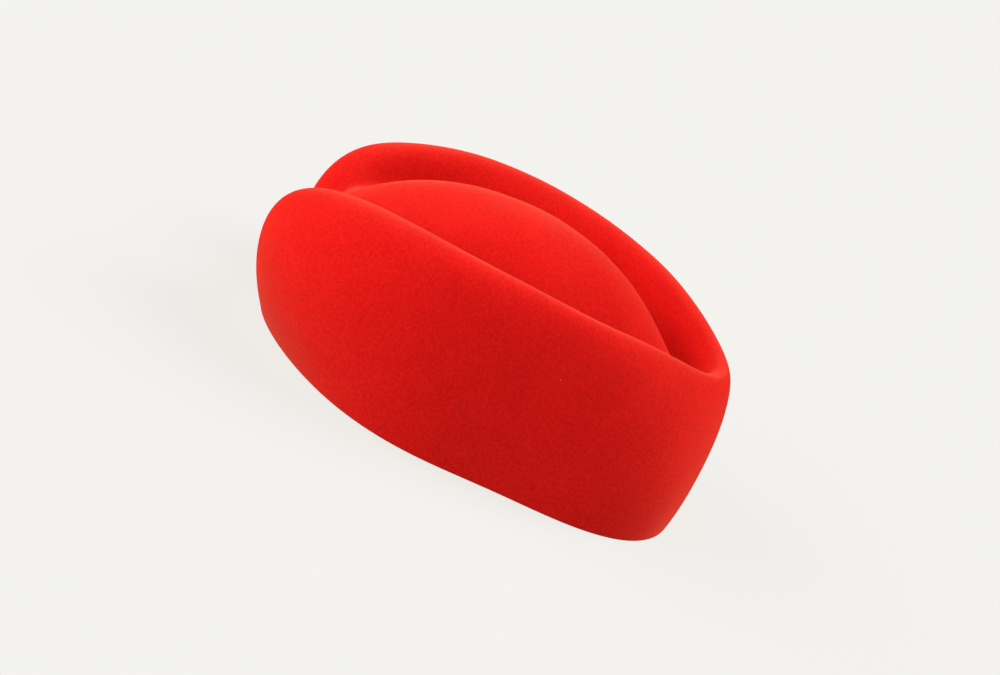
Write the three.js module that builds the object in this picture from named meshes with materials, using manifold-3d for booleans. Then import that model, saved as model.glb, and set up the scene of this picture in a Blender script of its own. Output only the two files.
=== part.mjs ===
// A pillbox hat of blocked wool felt, made as one seamless piece. Millimetres, Z up.
//
// The hat rests on its rim, faces -Y, and has the wearer's left at +X. From the rim a tall wall
// swells out and rises to a rounded ridge. The ridge is high along both sides, dips a little at
// the back and steeply into a cleft at the front, and rolls down into a channel round a long, low
// dome. In the cleft the dome runs out to the front wall. The felt has one thickness everywhere, so
// the inside repeats the outside.

import Module from 'manifold-3d';
import * as THREE from 'three';
import { LoftGeometry } from 'three/addons/geometries/LoftGeometry.js';
import { mergeVertices } from 'three/addons/utils/BufferGeometryUtils.js';

// Driving sizes, on the outside of the felt
const feltThickness = 2.5;
const rimLength = 197;
const rimWidth = 163.5;
const ridgeLength = 192.5;
const ridgeWidth = 145.5;
const ridgeHeight = 78;
const ridgeOuterRoll = 7;
const ridgeInnerRoll = 12.5;
const channelLength = 171;
const channelWidth = 95.5;
const channelHeight = 57;
const channelRoll = 6.5;
const frontSwell = 34.5;
const domeHeight = 86;
const domeTopLength = 102;
const domeTopWidth = 48.5;
const domeSetForward = 8;
const cleftWidth = 64.5;
const cleftDepth = 29;
const cleftInset = 13.5;
const hollowWidth = 70;
const hollowDepth = 35;

// Upright sections of the hat, one row for each 30 degrees from the front round to the back. The
// first three columns are shares of the ellipse with that oval's length and width. The others are
// shares of ridgeHeight, channelHeight, frontSwell and ridgeOuterRoll.
const sections = [
  { rim: 1.02, ridge: 1.155, channel: 1.165, top: 0.715, floor: 0.86, swell: 0.715, roll: 3.05 }, // front
  { rim: 1.02, ridge: 1.095, channel: 1.165, top: 0.865, floor: 0.945, swell: 0.93, roll: 2.4 },
  { rim: 1.07, ridge: 1.075, channel: 1.08, top: 0.99, floor: 0.99, swell: 0.53, roll: 1.6 },
  { rim: 1.025, ridge: 1.005, channel: 0.995, top: 1.005, floor: 1.005, swell: 0.235, roll: 1.05 }, // side
  { rim: 1.005, ridge: 0.925, channel: 0.965, top: 0.975, floor: 0.95, swell: 0.18, roll: 0.85 },
  { rim: 1.06, ridge: 0.85, channel: 0.88, top: 0.905, floor: 0.89, swell: 0.12, roll: 0.8 },
  { rim: 0.97, ridge: 0.885, channel: 0.87, top: 0.825, floor: 0.915, swell: 0.13, roll: 0.3 }, // back
];

// The cleft pinches the front of the ridge down and in, and a hollow runs on down the wall below it.
// Steepness is 2 for a plain bell curve's sides, and more for steeper ones. The channel behind the
// cleft keeps a share of its inset. In the middle of the cleft the felt climbs from the front wall
// straight on to the dome, at an angle in degrees.
const cleftSteepness = 2.4;
const hollowSteepness = 2.2;
const cleftChannelShare = 0.6;
const cleftClimb = 45;

// Steps along each stretch of a section, and points round the hat
const wallSteps = 11;
const rollSteps = 9;
const domeSteps = 10;
const pointsRound = 94;

// The dome closes with a small level facet, at this share of the way along its last stretch.
const domeClosingShare = 0.97;

// Distance from the middle of an ellipse to its edge, where direction 0 is the front.
function ellipseReach(length, width, direction) {
  return 1 / Math.hypot(2 * Math.sin(direction) / width, 2 * Math.cos(direction) / length);
}

// Value of one column in any direction: the smoothest even wave that passes through every row.
function share(column, direction) {
  const last = sections.length - 1;
  let value = 0;
  for (let wave = 0; wave <= last; wave++) {
    let height = 0;
    sections.forEach((row, i) => {
      height += row[column] * Math.cos(Math.PI * wave * i / last) * (i % last ? 1 : 0.5);
    });
    value += height * Math.cos(wave * direction) * (wave % last ? 2 : 1) / last;
  }
  return value;
}

// How far into a dent at the front a direction lies: 1 at the very front and 0 away from it. The
// dent is as wide as its width where it is a third as deep as at the front.
function inFrontDent(direction, width, steepness) {
  const halfAngle = width / (ridgeLength * sections[0].ridge);
  const fromFront = Math.abs(Math.atan2(Math.sin(direction), Math.cos(direction)));
  return Math.exp(-((fromFront / halfAngle) ** steepness));
}

// Handle of a curve, outward and down, that gives the felt this radius where it turns level.
function handle(radius, drop, climb) {
  const length = Math.sqrt(radius * Math.max(Math.abs(drop), radius / 2) / 1.5);
  return new THREE.Vector2(length * Math.cos(climb), -length * Math.sin(climb));
}

// The upright section in one direction: the wall, the roll into the channel, and the dome.
function sectionCurves(direction) {
  const outward = new THREE.Vector3(Math.sin(direction), -Math.cos(direction), 0);
  const at = (reach, height) => outward.clone().multiplyScalar(reach).setZ(height);
  const from = (start, arm, way) => at(start.x + way * arm.x, start.y + way * arm.y);
  const cleft = inFrontDent(direction, cleftWidth, cleftSteepness);
  const hollow = inFrontDent(direction, hollowWidth, hollowSteepness);
  const inset = cleftInset * cleft;
  const climb = THREE.MathUtils.degToRad(cleftClimb) * cleft;

  const rim = share('rim', direction) * ellipseReach(rimLength, rimWidth, direction);
  const ridge = new THREE.Vector2(
    share('ridge', direction) * ellipseReach(ridgeLength, ridgeWidth, direction) - inset,
    share('top', direction) * ridgeHeight - cleftDepth * cleft,
  );
  const channel = new THREE.Vector2(
    share('channel', direction) * ellipseReach(channelLength, channelWidth, direction)
      - cleftChannelShare * inset,
    share('floor', direction) * channelHeight,
  );
  const swell = share('swell', direction) * frontSwell - hollowDepth * hollow;
  const swellHeight = ridge.y / 2;
  const rollDrop = ridge.y - channel.y;

  const outer = handle(share('roll', direction) * ridgeOuterRoll, ridge.y - swellHeight, climb);
  const inner = handle(ridgeInnerRoll, rollDrop, climb);
  const foot = handle(channelRoll, rollDrop, climb);
  const haunch = handle(channelRoll, domeHeight - channel.y, climb);
  const domeMiddle = new THREE.Vector3(0, -domeSetForward, domeHeight);
  const domeTop = at(ellipseReach(domeTopLength, domeTopWidth, direction), 0).add(domeMiddle);
  const [ridgePoint, channelPoint] = [at(ridge.x, ridge.y), at(channel.x, channel.y)];

  return [
    new THREE.CubicBezierCurve3(
      at(rim, 0), at(rim + swell, swellHeight), from(ridge, outer, 1), ridgePoint,
    ),
    new THREE.CubicBezierCurve3(
      ridgePoint, from(ridge, inner, -1), from(channel, foot, 1), channelPoint,
    ),
    new THREE.CubicBezierCurve3(channelPoint, from(channel, haunch, -1), domeTop, domeMiddle),
  ];
}

// Points of a section from the rim to the top of the dome, with the way each one is heading.
function sectionPoints(direction) {
  const [wall, roll, dome] = sectionCurves(direction);
  const points = [];
  const walk = (curve, steps, first, last) => {
    for (let step = first; step <= steps; step++) {
      const t = last * step / steps;
      points.push({ place: curve.getPoint(t), heading: curve.getTangent(t) });
    }
  };
  walk(wall, wallSteps, 0, 1);
  walk(roll, rollSteps, 1, 1);
  walk(dome, domeSteps, 1, domeClosingShare);
  return points;
}

// The inside of the felt behind each point of a section. The first one lies at the rim, and slides
// on down the wall to below the edge, so that the hollow runs out of the hat.
function innerPoints(direction, points) {
  const turn = THREE.MathUtils.degToRad(0.5);
  const before = sectionPoints(direction - turn);
  const after = sectionPoints(direction + turn);
  return points.map(({ place, heading }, i) => {
    const round = after[i].place.clone().sub(before[i].place);
    const outward = round.cross(heading).normalize();
    const inner = place.clone().addScaledVector(outward, -feltThickness);
    const slide = i === 0 ? (inner.z + 2 * feltThickness) / heading.z : 0;
    return { place: inner.addScaledVector(heading, -slide) };
  });
}

// Solid with one ring of points for each row of the sections, from the dome down to the rim.
function blockedForm(pointsInDirection) {
  const rings = [];
  for (let i = 0; i < pointsRound; i++) {
    const points = pointsInDirection(-2 * Math.PI * i / pointsRound);
    points.forEach(({ place }, row) => (rings[row] ??= []).push(place));
  }
  const loft = new LoftGeometry(rings.reverse(), { capStart: true, capEnd: true });
  const skin = new THREE.BufferGeometry();
  skin.setAttribute('position', loft.getAttribute('position'));
  skin.setIndex(loft.getIndex());
  const { attributes, index } = mergeVertices(skin);
  const vertProperties = new Float32Array(attributes.position.array);
  const triVerts = new Uint32Array(index.array);
  return new wasm.Manifold(new wasm.Mesh({ numProp: 3, vertProperties, triVerts }));
}

// The felt is the outer form with the inner form taken out of it.
function feltGeometry() {
  const outer = blockedForm(sectionPoints);
  const inner = blockedForm((direction) => innerPoints(direction, sectionPoints(direction)));
  const { vertProperties, triVerts } = outer.subtract(inner).getMesh();
  const geometry = new THREE.BufferGeometry();
  geometry.setAttribute('position', new THREE.BufferAttribute(vertProperties, 3));
  geometry.setIndex(new THREE.BufferAttribute(triVerts, 1));
  geometry.computeVertexNormals();
  return geometry;
}

const wasm = await Module();
wasm.setup();

const felt = new THREE.Mesh(
  feltGeometry(),
  new THREE.MeshStandardMaterial({ color: 0xd0201a, roughness: 0.95, metalness: 0 }),
);
felt.name = 'felt_crown';

// The origin is the middle of the hat's length and width, on the surface that it stands on.
felt.geometry.computeBoundingBox();
const middle = felt.geometry.boundingBox.getCenter(new THREE.Vector3());
felt.position.set(-middle.x, -middle.y, 0);

const hat = new THREE.Group();
hat.add(felt);

export default hat;
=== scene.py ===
"""A pillbox hat of blocked red wool felt, dressed for a plain studio picture.

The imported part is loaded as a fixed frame. The felt is then shaped again on a much finer grid from
the same sizes, given its nap, a clean cut edge and a few specks of lint, and set on a pale floor
under soft light, with the camera where the photograph was taken from.
"""

import logging
import math
from dataclasses import dataclass, field
from enum import Enum
from typing import Iterable, NamedTuple, Sequence

import bpy
import numpy as np
from mathutils import Matrix, Vector, noise
from mathutils.bvhtree import BVHTree


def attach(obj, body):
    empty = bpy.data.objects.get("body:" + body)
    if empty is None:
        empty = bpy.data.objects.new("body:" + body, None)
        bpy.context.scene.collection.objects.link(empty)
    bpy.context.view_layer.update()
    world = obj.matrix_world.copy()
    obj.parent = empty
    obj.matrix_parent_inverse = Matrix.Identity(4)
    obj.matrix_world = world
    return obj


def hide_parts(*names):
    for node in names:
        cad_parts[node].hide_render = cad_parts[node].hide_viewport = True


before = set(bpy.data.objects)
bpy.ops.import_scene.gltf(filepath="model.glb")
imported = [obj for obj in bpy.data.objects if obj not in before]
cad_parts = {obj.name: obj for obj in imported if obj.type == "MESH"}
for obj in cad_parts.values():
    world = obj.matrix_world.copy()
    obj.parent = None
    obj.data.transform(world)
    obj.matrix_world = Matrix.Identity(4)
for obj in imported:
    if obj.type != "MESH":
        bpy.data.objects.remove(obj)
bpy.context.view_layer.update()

log = logging.getLogger("pillbox_hat")

BODY = "root"
CAD_NODE = "felt_crown"
MM = 0.001

# A cubic curve's radius at its end is this many times its handle squared, over its drop.
CUBIC_END_RADIUS = 1.5


def metres(millimetres: np.ndarray) -> np.ndarray:
    """Millimetres as metres."""
    return millimetres * MM


def linear(code: str) -> tuple[float, float, float, float]:
    """Turns an sRGB hex colour into the linear colour that shaders use.

    Args:
        code: Six hex digits, such as "d0201a".

    Returns:
        Red, green and blue from 0 to 1, and an alpha of 1.
    """

    def channel(value: float) -> float:
        """One channel, from sRGB to linear."""
        return value / 12.92 if value <= 0.04045 else ((value + 0.055) / 1.055) ** 2.4

    red, green, blue = (channel(int(code[i : i + 2], 16) / 255) for i in (0, 2, 4))
    return (red, green, blue, 1.0)


def add_node(
    tree: bpy.types.NodeTree,
    kind: str,
    inputs: dict[str | int, object] | None = None,
    **settings: object,
) -> bpy.types.Node:
    """Adds a node with its settings and links.

    Args:
        tree: The node tree that it goes into.
        kind: The node's type, such as "ShaderNodeMath".
        inputs: For each input, by name or number, its value, or the output socket that feeds it.
        **settings: Properties of the node itself.

    Returns:
        The new node.
    """
    node = tree.nodes.new(kind)
    for name, value in settings.items():
        setattr(node, name, value)
    for name, value in (inputs or {}).items():
        if isinstance(value, bpy.types.NodeSocket):
            tree.links.new(value, node.inputs[name])
        else:
            node.inputs[name].default_value = value
    return node


def toward(azimuth: float, elevation: float) -> Vector:
    """The way from the hat to something round it.

    Args:
        azimuth: Degrees round the hat: 0 is its front, and 90 the wearer's left.
        elevation: Degrees above the floor.

    Returns:
        A vector of length 1.
    """
    around, above = math.radians(azimuth), math.radians(elevation)
    return Vector((
        math.sin(around) * math.cos(above),
        -math.cos(around) * math.cos(above),
        math.sin(above),
    ))


class Station(NamedTuple):
    """One upright section of the hat, as shares of the block's sizes.

    Rim, ridge and channel are shares of the ellipse with that oval's length and width. Top, floor,
    swell and roll are shares of ridge_height, channel_height, front_swell and ridge_outer_roll.
    """

    rim: float
    ridge: float
    channel: float
    top: float
    floor: float
    swell: float
    roll: float


# One row for each 30 degrees, from the front round to the back.
STATIONS = (
    Station(rim=1.02, ridge=1.155, channel=1.165, top=0.715, floor=0.86, swell=0.715, roll=3.05),
    Station(rim=1.02, ridge=1.095, channel=1.165, top=0.865, floor=0.945, swell=0.93, roll=2.4),
    Station(rim=1.07, ridge=1.075, channel=1.08, top=0.99, floor=0.99, swell=0.53, roll=1.6),
    Station(rim=1.025, ridge=1.005, channel=0.995, top=1.005, floor=1.005, swell=0.235, roll=1.05),
    Station(rim=1.005, ridge=0.925, channel=0.965, top=0.975, floor=0.95, swell=0.18, roll=0.85),
    Station(rim=1.06, ridge=0.85, channel=0.88, top=0.905, floor=0.89, swell=0.12, roll=0.8),
    Station(rim=0.97, ridge=0.885, channel=0.87, top=0.825, floor=0.915, swell=0.13, roll=0.3),
)


@dataclass(frozen=True)
class BlockSizes:
    """Driving sizes of the blocked felt, on its outside, in millimetres.

    The cleft is pinched into the front of the ridge, and the hollow runs down the wall below it.
    cleft_climb is the angle in degrees at which the felt climbs through the cleft to the dome.
    """

    felt_thickness: float = 2.5
    rim_length: float = 197.0
    rim_width: float = 163.5
    ridge_length: float = 192.5
    ridge_width: float = 145.5
    ridge_height: float = 78.0
    ridge_outer_roll: float = 7.0
    ridge_inner_roll: float = 12.5
    channel_length: float = 171.0
    channel_width: float = 95.5
    channel_height: float = 57.0
    channel_roll: float = 6.5
    front_swell: float = 34.5
    dome_height: float = 86.0
    dome_top_length: float = 102.0
    dome_top_width: float = 48.5
    dome_set_forward: float = 8.0
    cleft_width: float = 64.5
    cleft_depth: float = 29.0
    cleft_inset: float = 13.5
    cleft_steepness: float = 2.4
    cleft_channel_share: float = 0.6
    cleft_climb: float = 45.0
    hollow_width: float = 70.0
    hollow_depth: float = 35.0
    hollow_steepness: float = 2.2
    stations: tuple[Station, ...] = STATIONS


@dataclass(frozen=True)
class HatBlock:
    """The shape of the hat: one upright section in each direction, from the front round."""

    sizes: BlockSizes = field(default_factory=BlockSizes)

    def share(self, column: str, direction: np.ndarray) -> np.ndarray:
        """Value of one column of the stations, along the smoothest even wave through its rows.

        Args:
            column: A field of Station.
            direction: Angles from the front, in radians.

        Returns:
            The column's value in each direction.
        """
        values = [getattr(station, column) for station in self.sizes.stations]
        last = len(values) - 1
        total = np.zeros_like(direction)
        for wave in range(last + 1):
            height = sum(
                value * math.cos(math.pi * wave * row / last) * (1.0 if row % last else 0.5)
                for row, value in enumerate(values)
            )
            total += height * np.cos(wave * direction) * (2.0 if wave % last else 1.0) / last
        return total

    @staticmethod
    def ellipse_reach(length: float, width: float, direction: np.ndarray) -> np.ndarray:
        """Distance from the middle of an ellipse to its edge in each direction."""
        return 1 / np.hypot(2 * np.sin(direction) / width, 2 * np.cos(direction) / length)

    def in_front_dent(self, direction: np.ndarray, width: float, steepness: float) -> np.ndarray:
        """How far into a dent at the front each direction lies, from 1 at its middle to 0 away.

        Args:
            direction: Angles from the front, in radians.
            width: How wide the dent is where it is a third as deep as at its middle.
            steepness: 2 for a plain bell curve's sides, and more for steeper ones.

        Returns:
            The share of the dent's full depth in each direction.
        """
        half_angle = width / (self.sizes.ridge_length * self.sizes.stations[0].ridge)
        from_front = np.abs(np.arctan2(np.sin(direction), np.cos(direction)))
        return np.exp(-((from_front / half_angle) ** steepness))

    @staticmethod
    def handle(
        radius: np.ndarray, drop: np.ndarray, climb: np.ndarray
    ) -> tuple[np.ndarray, np.ndarray]:
        """Handle of a curve that gives the felt a radius where it turns level.

        Args:
            radius: Radius of the felt there.
            drop: Height that the curve falls by.
            climb: Angle in radians that the felt is tipped by there.

        Returns:
            How far the handle reaches outward, and upward.
        """
        # A drop of next to nothing still leaves a rounded turn.
        least_drop = radius / 2
        length = np.sqrt(radius * np.maximum(np.abs(drop), least_drop) / CUBIC_END_RADIUS)
        return length * np.cos(climb), -length * np.sin(climb)

    def curves(self, direction: np.ndarray) -> list[np.ndarray]:
        """The wall, the roll and the dome in each direction, each as four control points.

        Args:
            direction: Angles from the front, in radians.

        Returns:
            Three arrays of control points, indexed by control point, direction and axis.
        """
        sizes = self.sizes
        outward = np.stack(
            [np.sin(direction), -np.cos(direction), np.zeros_like(direction)], axis=-1
        )
        cleft = self.in_front_dent(direction, sizes.cleft_width, sizes.cleft_steepness)
        hollow = self.in_front_dent(direction, sizes.hollow_width, sizes.hollow_steepness)
        inset = sizes.cleft_inset * cleft
        climb = np.radians(sizes.cleft_climb) * cleft

        def at(reach: np.ndarray, height: np.ndarray | float) -> np.ndarray:
            """Points at a reach outward and a height, in each direction."""
            level = np.broadcast_to(height, direction.shape)[..., None]
            return outward * np.asarray(reach)[..., None] + np.array([0, 0, 1]) * level

        def oval(column: str, length: float, width: float) -> np.ndarray:
            """Reach of an ellipse that one column of the stations bends."""
            return self.share(column, direction) * self.ellipse_reach(length, width, direction)

        rim = oval("rim", sizes.rim_length, sizes.rim_width)
        ridge = oval("ridge", sizes.ridge_length, sizes.ridge_width) - inset
        ridge_top = self.share("top", direction) * sizes.ridge_height - sizes.cleft_depth * cleft
        channel = (
            oval("channel", sizes.channel_length, sizes.channel_width)
            - sizes.cleft_channel_share * inset
        )
        channel_floor = self.share("floor", direction) * sizes.channel_height
        swell = self.share("swell", direction) * sizes.front_swell - sizes.hollow_depth * hollow
        swell_height = ridge_top / 2
        roll_drop = ridge_top - channel_floor

        outer_roll = self.share("roll", direction) * sizes.ridge_outer_roll
        inner_roll = np.full_like(direction, sizes.ridge_inner_roll)
        channel_roll = np.full_like(direction, sizes.channel_roll)
        outer = self.handle(outer_roll, ridge_top - swell_height, climb)
        inner = self.handle(inner_roll, roll_drop, climb)
        foot = self.handle(channel_roll, roll_drop, climb)
        haunch = self.handle(channel_roll, sizes.dome_height - channel_floor, climb)
        middle = np.broadcast_to([0.0, -sizes.dome_set_forward, sizes.dome_height], outward.shape)
        dome_reach = self.ellipse_reach(sizes.dome_top_length, sizes.dome_top_width, direction)
        dome_top = middle + at(dome_reach, 0.0)
        return [
            np.stack([
                at(rim, 0.0),
                at(rim + swell, swell_height),
                at(ridge + outer[0], ridge_top + outer[1]),
                at(ridge, ridge_top),
            ]),
            np.stack([
                at(ridge, ridge_top),
                at(ridge - inner[0], ridge_top - inner[1]),
                at(channel + foot[0], channel_floor + foot[1]),
                at(channel, channel_floor),
            ]),
            np.stack([
                at(channel, channel_floor),
                at(channel - haunch[0], channel_floor - haunch[1]),
                dome_top,
                middle,
            ]),
        ]

    @staticmethod
    def along(curve: np.ndarray, steps: np.ndarray) -> tuple[np.ndarray, np.ndarray]:
        """Points of a cubic curve and the way that it heads at each.

        Args:
            curve: Its four control points in each direction.
            steps: Places along it, from 0 to 1.

        Returns:
            Points and unit headings, indexed by place, direction and axis.
        """
        t = steps[:, None, None]
        a, b, c, d = curve
        points = a * (1 - t) ** 3 + 3 * b * t * (1 - t) ** 2 + 3 * c * t**2 * (1 - t) + d * t**3
        slopes = (b - a) * (1 - t) ** 2 + 2 * (c - b) * t * (1 - t) + (d - c) * t**2
        return points, slopes / np.linalg.norm(slopes, axis=-1, keepdims=True)

    def rows(
        self, direction: np.ndarray, steps: Sequence[int], dome_end: float
    ) -> tuple[np.ndarray, np.ndarray]:
        """The outside of the felt as rows of points from the rim to the top of the dome.

        Args:
            direction: Angles from the front, in radians.
            steps: How many steps the wall, the roll and the dome take.
            dome_end: Share of the dome's curve where the last row lies.

        Returns:
            Points and headings in millimetres, indexed by row, direction and axis.
        """
        ends = (1.0, 1.0, dome_end)
        points, headings = [], []
        for number, (curve, count, end) in enumerate(zip(self.curves(direction), steps, ends)):
            places = np.linspace(0, end, count + 1)[0 if number == 0 else 1 :]
            point, heading = self.along(curve, places)
            points.append(point)
            headings.append(heading)
        return np.concatenate(points), np.concatenate(headings)


@dataclass(frozen=True)
class WoolFelt:
    """Wool felt, fulled, dyed in the piece, blocked over steam and brushed.

    It gives the eye a deep matte red with no gloss, a soft fine grain of matted fibres, faint
    clouds where the felt is thicker or thinner, and a paler bloom of nap wherever the surface
    turns edge on. A wool fibre is 0.02 mm thick, too fine to show, so the fibres are drawn as
    coarse as the tufts that they mat into. The tones and the tuft sizes are matched to the hat.
    """

    name: str = "wool_felt_blocked_and_brushed"
    deep: str = "ba110e"
    body: str = "cb1311"
    lit: str = "d61915"
    sheen_tint: str = "da8e6f"
    roughness: float = 1.0
    sheen: float = 0.28
    sheen_roughness: float = 0.5
    specular: float = 0.0
    grain_mm: float = 1.3
    fibre_mm: float = 0.55
    cloud_mm: float = 14.0
    bump_mm: float = 0.12
    tuft_roughness: float = 0.55
    fibre_share: float = 0.45
    cloud_share: float = 0.15
    tone_stops: tuple[float, float, float] = (0.35, 0.5, 0.65)

    def material(self) -> bpy.types.Material:
        """Builds the felt's node material.

        Returns:
            The new material.
        """
        material = bpy.data.materials.new(self.name)
        material.use_nodes = True
        tree = material.node_tree
        tree.nodes.clear()
        place = add_node(tree, "ShaderNodeTexCoord").outputs["Object"]

        def patches(size_mm: float, detail: float) -> bpy.types.NodeSocket:
            """Soft random patches of about the given size."""
            inputs = {
                "Vector": place,
                "Scale": 1 / (size_mm * MM),
                "Detail": detail,
                "Roughness": self.tuft_roughness,
            }
            return add_node(tree, "ShaderNodeTexNoise", inputs).outputs["Fac"]

        def blend(
            below: bpy.types.NodeSocket, above: bpy.types.NodeSocket, share: float
        ) -> bpy.types.NodeSocket:
            """Two patterns as one, with a share of the second."""
            inputs = {"Factor": share, "A": below, "B": above}
            return add_node(tree, "ShaderNodeMix", inputs, data_type="FLOAT").outputs["Result"]

        grain = patches(self.grain_mm, detail=2.0)
        fibre = patches(self.fibre_mm, detail=1.0)
        cloud = patches(self.cloud_mm, detail=2.0)
        fine = blend(grain, fibre, self.fibre_share)
        ramp = add_node(tree, "ShaderNodeValToRGB", {"Fac": blend(fine, cloud, self.cloud_share)})
        middle_stop = self.tone_stops[1]
        ramp.color_ramp.elements.new(middle_stop)
        tones = zip(self.tone_stops, (self.deep, self.body, self.lit))
        for element, (position, colour) in zip(ramp.color_ramp.elements, tones):
            element.position = position
            element.color = linear(colour)
        bump = add_node(
            tree,
            "ShaderNodeBump",
            {"Height": fine, "Distance": self.bump_mm * MM, "Strength": 1.0},
        )
        shader = add_node(
            tree,
            "ShaderNodeBsdfPrincipled",
            {
                "Base Color": ramp.outputs["Color"],
                "Roughness": self.roughness,
                "Specular IOR Level": self.specular,
                "Sheen Weight": self.sheen,
                "Sheen Roughness": self.sheen_roughness,
                "Sheen Tint": linear(self.sheen_tint),
                "Normal": bump.outputs["Normal"],
            },
        )
        add_node(tree, "ShaderNodeOutputMaterial", {"Surface": shader.outputs["BSDF"]})
        return material


@dataclass
class FeltCrown:
    """The whole hat: one skin of blocked felt, outside, inside and cut edge, in millimetres."""

    block: HatBlock = field(default_factory=HatBlock)
    finish: WoolFelt = field(default_factory=WoolFelt)
    points_round: int = 288
    steps: tuple[int, int, int] = (42, 26, 40)
    dome_end: float = 0.985
    edge_radius: float = 0.55
    edge_steps: int = 3
    wander: float = 0.14
    wander_length: float = 26.0

    def wandered(self, points: np.ndarray, normals: np.ndarray) -> np.ndarray:
        """Moves points in and out a little, as felt that was steamed and blocked by hand lies.

        Args:
            points: Points in millimetres.
            normals: The unit normal at each.

        Returns:
            The moved points. The rim stays where it rests.
        """
        flat = points.reshape(-1, 3)
        lift = np.array([noise.noise(Vector(point / self.wander_length)) for point in flat])
        fade = np.clip(flat[:, 2] / self.wander_length, 0, 1)
        moved = flat + normals.reshape(-1, 3) * (self.wander * lift * fade)[:, None]
        return moved.reshape(points.shape)

    @staticmethod
    def corner(start: np.ndarray, bend: np.ndarray, end: np.ndarray, steps: int) -> np.ndarray:
        """Rows of points round a soft corner."""
        t = np.linspace(0, 1, steps + 1)[:, None, None]
        return start * (1 - t) ** 2 + 2 * bend * t * (1 - t) + end * t**2

    def skins(self) -> tuple[np.ndarray, np.ndarray]:
        """Rows of points of the whole felt, from the inside's top down, round the edge and up.

        Returns:
            The rows, and the two points that close the dome inside and outside.
        """
        sizes = self.block.sizes
        direction = np.linspace(0, 2 * math.pi, self.points_round, endpoint=False)
        outer, heading = self.block.rows(direction, self.steps, self.dome_end)
        step = 2 * math.pi / self.points_round
        before, _ = self.block.rows(direction - step / 2, self.steps, self.dome_end)
        after, _ = self.block.rows(direction + step / 2, self.steps, self.dome_end)
        normals = np.cross(after - before, heading)
        normals /= np.linalg.norm(normals, axis=-1, keepdims=True)
        inner = outer - normals * sizes.felt_thickness

        foot_out = outer[0]
        slide = inner[0, :, 2:] / heading[0, :, 2:]
        foot_in = inner[0] - heading[0] * slide
        across = foot_in - foot_out
        across /= np.linalg.norm(across, axis=-1, keepdims=True)
        up = heading[0] * self.edge_radius
        flat = across * self.edge_radius
        edge = np.concatenate([
            self.corner(foot_in + up, foot_in, foot_in - flat, self.edge_steps),
            self.corner(foot_out + flat, foot_out, foot_out + up, self.edge_steps),
        ])

        outer, inner = self.wandered(outer, normals), self.wandered(inner, normals)
        # Where the wall leans in at the front, its inside would run on below the cut edge.
        inner[..., 2] = np.maximum(inner[..., 2], self.edge_radius)
        rows = np.concatenate([inner[:0:-1], edge, outer[1:]])
        middle = np.array([0.0, -sizes.dome_set_forward, sizes.dome_height])
        tops = np.stack([middle - [0, 0, sizes.felt_thickness], middle])
        return rows, tops

    def build(self) -> bpy.types.Object:
        """Makes the felt's mesh, dresses it, and puts it in the place of the CAD solid.

        Returns:
            The new object.
        """
        rows, tops = self.skins()
        points = np.concatenate([rows.reshape(-1, 3), tops])
        low, high = points.min(axis=0), points.max(axis=0)
        points[:, :2] -= (low[:2] + high[:2]) / 2

        count, around = rows.shape[:2]
        index = np.arange(count * around).reshape(count, around)
        turned = np.roll(index, -1, axis=1)
        quads = np.stack([index[:-1], turned[:-1], turned[1:], index[1:]], axis=-1).reshape(-1, 4)
        top_in, top_out = count * around, count * around + 1
        faces = quads.tolist()
        faces += [(top_in, int(b), int(a)) for a, b in zip(index[0], turned[0])]
        faces += [(top_out, int(a), int(b)) for a, b in zip(index[-1], turned[-1])]

        mesh = bpy.data.meshes.new("blocked_felt")
        mesh.from_pydata(metres(points).tolist(), [], faces)
        mesh.polygons.foreach_set("use_smooth", [True] * len(mesh.polygons))
        mesh.materials.append(self.finish.material())
        mesh.update()
        felt = bpy.data.objects.new("blocked_felt", mesh)
        bpy.context.collection.objects.link(felt)
        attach(felt, BODY)
        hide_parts(CAD_NODE)
        log.info("blocked_felt: %d faces", len(mesh.polygons))
        return felt


@dataclass(frozen=True)
class PhotoCamera:
    """The camera, where the photograph was taken from. Angles in degrees, lengths in metres."""

    azimuth: float = 92.48
    elevation: float = 18.91
    roll: float = 28.26
    distance: float = 0.8623
    aim: tuple[float, float, float] = (0.0, 0.00188, 0.02994)
    lens_mm: float = 74.3
    sensor_mm: float = 36.0
    nearest: float = 0.01
    farthest: float = 100.0

    def build(self) -> bpy.types.Object:
        """Makes the scene's camera.

        Returns:
            The camera.
        """
        back = toward(self.azimuth, self.elevation)
        roll = math.radians(self.roll)
        level_right = Vector((0, 0, 1)).cross(back).normalized()
        level_up = back.cross(level_right)
        right = level_right * math.cos(roll) + level_up * math.sin(roll)
        up = level_up * math.cos(roll) - level_right * math.sin(roll)
        data = bpy.data.cameras.new("photo_camera")
        data.lens, data.sensor_width = self.lens_mm, self.sensor_mm
        data.clip_start, data.clip_end = self.nearest, self.farthest
        camera = bpy.data.objects.new("photo_camera", data)
        turn = Matrix((right, up, back)).transposed()
        place = Vector(self.aim) + back * self.distance
        camera.matrix_world = Matrix.Translation(place) @ turn.to_4x4()
        bpy.context.collection.objects.link(camera)
        bpy.context.scene.camera = camera
        return camera


class LintTone(Enum):
    """Colours of the stray fibres, as sRGB hex."""

    PALE = "d8604c"
    DARK = "8e1210"


@dataclass(frozen=True)
class LooseFibre:
    """Spun fibre shed by other cloth.

    It gives the eye a fully matt fleck, paler or darker than the felt that it clings to.
    """

    tone: LintTone
    roughness: float = 0.9

    def material(self) -> bpy.types.Material:
        """Builds the fibre's material.

        Returns:
            The new material.
        """
        material = bpy.data.materials.new(f"loose_fibre_{self.tone.name.lower()}")
        material.use_nodes = True
        shader = material.node_tree.nodes["Principled BSDF"]
        shader.inputs["Base Color"].default_value = linear(self.tone.value)
        shader.inputs["Roughness"].default_value = self.roughness
        return material


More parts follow.
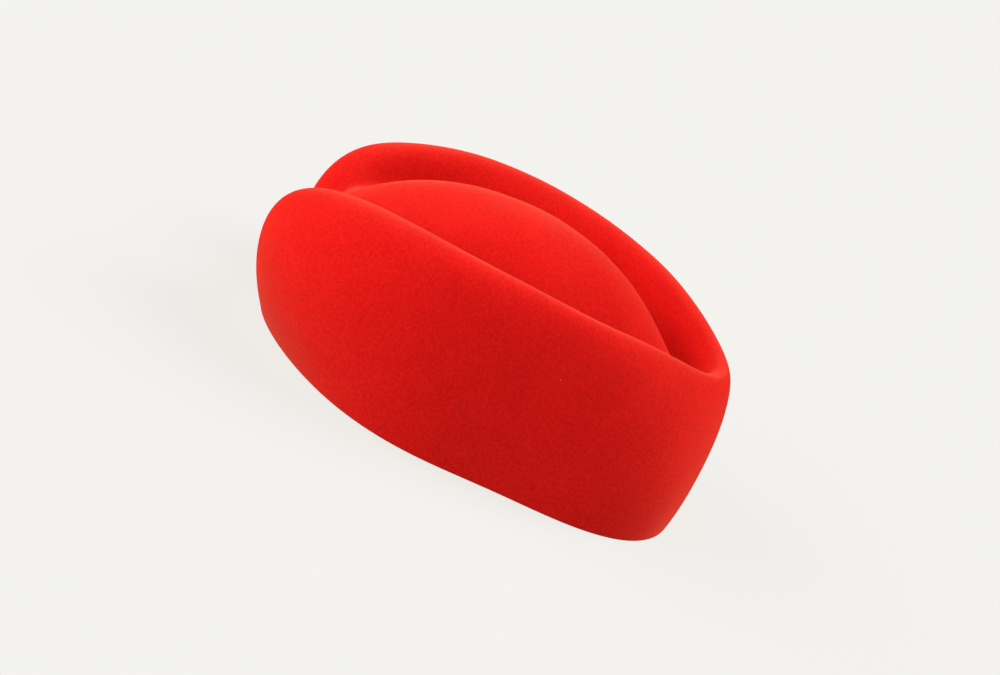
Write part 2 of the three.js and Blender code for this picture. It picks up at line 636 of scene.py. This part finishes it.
class Speck(NamedTuple):
    """A stray fibre curled up on the felt, where the photograph shows it in its own pixels.

    Its length is in millimetres, and its turn in degrees.
    """

    pixel_across: float
    pixel_down: float
    length_mm: float
    turn: float
    tone: LintTone


@dataclass
class LintFibres:
    """The few stray fibres that cling to the felt's near wall.

    The lifts are shares of a fibre's thickness, and tip_share is how thick its ends are.
    """

    camera: bpy.types.Object
    felt: bpy.types.Object
    specks: tuple[Speck, ...] = (
        Speck(pixel_across=559.5, pixel_down=380.0, length_mm=1.0, turn=35.0, tone=LintTone.PALE),
        Speck(pixel_across=658.5, pixel_down=501.5, length_mm=0.8, turn=100.0, tone=LintTone.PALE),
        Speck(pixel_across=357.5, pixel_down=385.5, length_mm=1.4, turn=60.0, tone=LintTone.DARK),
        Speck(pixel_across=350.5, pixel_down=320.0, length_mm=0.9, turn=15.0, tone=LintTone.DARK),
    )
    picture_wide: float = 1000.0
    picture_high: float = 675.0
    thickness_mm: float = 0.2
    curl_degrees: float = 150.0
    middle_lift: float = 0.3
    end_lift: float = 0.5
    tip_share: float = 0.25
    steps: int = 10
    sides: int = 6

    def where(self, speck: Speck, tree: BVHTree) -> tuple[Vector, Vector]:
        """Finds the point of the felt that a pixel of the picture shows.

        Args:
            speck: The fibre, with its pixel.
            tree: The felt's faces.

        Returns:
            The point and the felt's normal there.
        """
        data = self.camera.data
        turn = self.camera.matrix_world.to_3x3()
        per_pixel = data.sensor_width / data.lens / self.picture_wide
        aim = Vector((
            (speck.pixel_across - self.picture_wide / 2) * per_pixel,
            (self.picture_high / 2 - speck.pixel_down) * per_pixel,
            -1.0,
        ))
        lens = self.camera.matrix_world.translation
        point, normal, _, _ = tree.ray_cast(lens, turn @ aim.normalized())
        return point, normal

    def curl(self, speck: Speck, point: Vector, normal: Vector) -> list[Vector]:
        """Middle line of one fibre: an arc that lies on the felt with its ends a little raised.

        Args:
            speck: The fibre.
            point: Its middle on the felt.
            normal: The felt's normal there.

        Returns:
            Points along the fibre, in metres.
        """
        along = Vector((0, 0, 1)).cross(normal).normalized()
        across = normal.cross(along)
        turn, bend = math.radians(speck.turn), math.radians(self.curl_degrees)
        radius = speck.length_mm * MM / bend
        line = []
        for step in range(self.steps + 1):
            share = step / self.steps - 0.5
            angle = bend * share + turn
            arc = radius * (math.cos(angle) * along + math.sin(angle) * across)
            lift = self.thickness_mm * MM * (self.middle_lift + self.end_lift * (2 * share) ** 2)
            line.append(point + arc + lift * normal)
        return line

    def tube(
        self, line: list[Vector], normal: Vector
    ) -> tuple[list[Vector], list[tuple[int, ...]]]:
        """A round thread along a line, drawn out to a point at both ends.

        Args:
            line: Points along its middle.
            normal: The felt's normal there.

        Returns:
            The thread's points and faces.
        """
        points, faces = [], []
        for step, centre in enumerate(line):
            heading = (line[min(step + 1, self.steps)] - line[max(step - 1, 0)]).normalized()
            side = heading.cross(normal).normalized()
            top = side.cross(heading)
            fullness = math.sin(math.pi * step / self.steps)
            radius = self.thickness_mm * MM / 2 * (self.tip_share + (1 - self.tip_share) * fullness)
            for corner in range(self.sides):
                angle = 2 * math.pi * corner / self.sides
                points.append(centre + radius * (math.cos(angle) * side + math.sin(angle) * top))
        for step in range(self.steps):
            for corner in range(self.sides):
                a = step * self.sides + corner
                b = step * self.sides + (corner + 1) % self.sides
                faces.append((a, b, b + self.sides, a + self.sides))
        faces.append(tuple(reversed(range(self.sides))))
        faces.append(tuple(range(self.steps * self.sides, (self.steps + 1) * self.sides)))
        return points, faces

    def build(self) -> bpy.types.Object:
        """Makes all the fibres as one mesh and lays them on the felt.

        Returns:
            The new object.
        """
        bpy.context.view_layer.update()
        skin = self.felt.data
        tree = BVHTree.FromPolygons(
            [vertex.co for vertex in skin.vertices],
            [tuple(face.vertices) for face in skin.polygons],
        )
        tones = list(LintTone)
        points, faces, slots = [], [], []
        for speck in self.specks:
            point, normal = self.where(speck, tree)
            ring, sides = self.tube(self.curl(speck, point, normal), normal)
            faces += [tuple(index + len(points) for index in face) for face in sides]
            slots += [tones.index(speck.tone)] * len(sides)
            points += ring
        mesh = bpy.data.meshes.new("lint_fibres")
        mesh.from_pydata(points, [], faces)
        for tone in tones:
            mesh.materials.append(LooseFibre(tone).material())
        mesh.polygons.foreach_set("material_index", slots)
        mesh.polygons.foreach_set("use_smooth", [True] * len(mesh.polygons))
        mesh.update()
        lint = bpy.data.objects.new("lint_fibres", mesh)
        bpy.context.collection.objects.link(lint)
        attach(lint, BODY)
        log.info("lint_fibres: %d fibres", len(self.specks))
        return lint


@dataclass(frozen=True)
class SoftLamp:
    """One large soft studio light, far enough off to light the floor evenly. Angles in degrees."""

    name: str
    azimuth: float
    elevation: float
    strength: float
    spread: float = 45.0

    def build(self) -> bpy.types.Object:
        """Makes the lamp.

        Returns:
            The lamp, turned to the hat.
        """
        data = bpy.data.lights.new(self.name, "SUN")
        data.energy, data.angle = self.strength, math.radians(self.spread)
        lamp = bpy.data.objects.new(self.name, data)
        lamp.rotation_mode = "QUATERNION"
        lamp.rotation_quaternion = toward(self.azimuth, self.elevation).to_track_quat("Z", "Y")
        bpy.context.collection.objects.link(lamp)
        return lamp


def lit_apart(tree: bpy.types.NodeTree, seen: float, thrown: float) -> bpy.types.NodeSocket:
    """Strength of a surface that the lens sees at one brightness and that lights at another.

    Args:
        tree: The node tree of the floor or the surround.
        seen: Strength that the lens sees.
        thrown: Strength of the light that it throws on the hat.

    Returns:
        The socket that holds the strength.
    """
    ray = add_node(tree, "ShaderNodeLightPath").outputs["Is Camera Ray"]
    inputs = {"Factor": ray, "A": thrown, "B": seen}
    return add_node(tree, "ShaderNodeMix", inputs, data_type="FLOAT").outputs["Result"]


@dataclass(frozen=True)
class PaperSweep:
    """Matt white background paper, lit apart from the hat.

    It gives the eye one even pale tone with a faint soft shadow, and throws little light back.
    """

    name: str = "matt_white_paper_sweep"
    tone: str = "f4f3ef"
    reflectance: float = 0.08
    glow: float = 0.872
    bounce: float = 0.3

    def material(self) -> bpy.types.Material:
        """Builds the paper's node material.

        Returns:
            The new material.
        """
        material = bpy.data.materials.new(self.name)
        material.use_nodes = True
        tree = material.node_tree
        tree.nodes.clear()
        colour = linear(self.tone)
        strength = lit_apart(tree, self.glow, self.bounce)
        glow = add_node(tree, "ShaderNodeEmission", {"Color": colour, "Strength": strength})
        dimmed = (*(channel * self.reflectance for channel in colour[:3]), 1.0)
        matt = add_node(tree, "ShaderNodeBsdfDiffuse", {"Color": dimmed})
        both = add_node(tree, "ShaderNodeAddShader", {0: glow.outputs[0], 1: matt.outputs[0]})
        add_node(tree, "ShaderNodeOutputMaterial", {"Surface": both.outputs[0]})
        return material


@dataclass
class Studio:
    """A pale floor that runs to the horizon, an even pale surround and soft lamps."""

    paper: PaperSweep = field(default_factory=PaperSweep)
    floor_half_width: float = 40.0
    surround_glow: float = 1.0
    surround_light: float = 0.04
    lamps: tuple[SoftLamp, ...] = (
        SoftLamp("low_front_left_softbox", azimuth=42.0, elevation=6.0, strength=3.35),
        SoftLamp("front_softbox", azimuth=0.0, elevation=30.0, strength=2.3),
        SoftLamp("high_back_right_softbox", azimuth=210.0, elevation=42.0, strength=4.15),
        SoftLamp("low_back_left_fill", azimuth=120.0, elevation=6.0, strength=1.4),
        SoftLamp("low_front_fill", azimuth=0.0, elevation=8.0, strength=0.9),
    )

    def floor(self) -> bpy.types.Object:
        """Makes the floor, which takes a faint soft shadow of the hat.

        Returns:
            The floor.
        """
        half = self.floor_half_width
        corners = [(-half, -half, 0), (half, -half, 0), (half, half, 0), (-half, half, 0)]
        mesh = bpy.data.meshes.new("studio_floor")
        mesh.from_pydata(corners, [], [(0, 1, 2, 3)])
        mesh.materials.append(self.paper.material())
        floor = bpy.data.objects.new("studio_floor", mesh)
        bpy.context.collection.objects.link(floor)
        return floor

    def surround(self) -> None:
        """Makes the surround, as pale to the lens as the paper."""
        world = bpy.data.worlds.new("studio_surround")
        world.use_nodes = True
        tree = world.node_tree
        background = tree.nodes["Background"]
        background.inputs["Color"].default_value = linear(self.paper.tone)
        strength = lit_apart(tree, self.surround_glow, self.surround_light)
        tree.links.new(strength, background.inputs["Strength"])
        bpy.context.scene.world = world

    def build(self) -> None:
        """Makes the floor, the surround and the lamps, and shows colours as they are."""
        self.floor()
        self.surround()
        for lamp in self.lamps:
            lamp.build()
        bpy.context.scene.view_settings.view_transform = "Standard"
        log.info("studio: %d lamps", len(self.lamps))


def main() -> None:
    """Builds the hat, the camera and the studio, in order."""
    logging.basicConfig(level=logging.INFO, format="%(message)s")
    camera = PhotoCamera().build()
    felt = FeltCrown().build()
    LintFibres(camera=camera, felt=felt).build()
    Studio().build()
    bpy.context.view_layer.update()


if __name__ == "__main__":
    main()
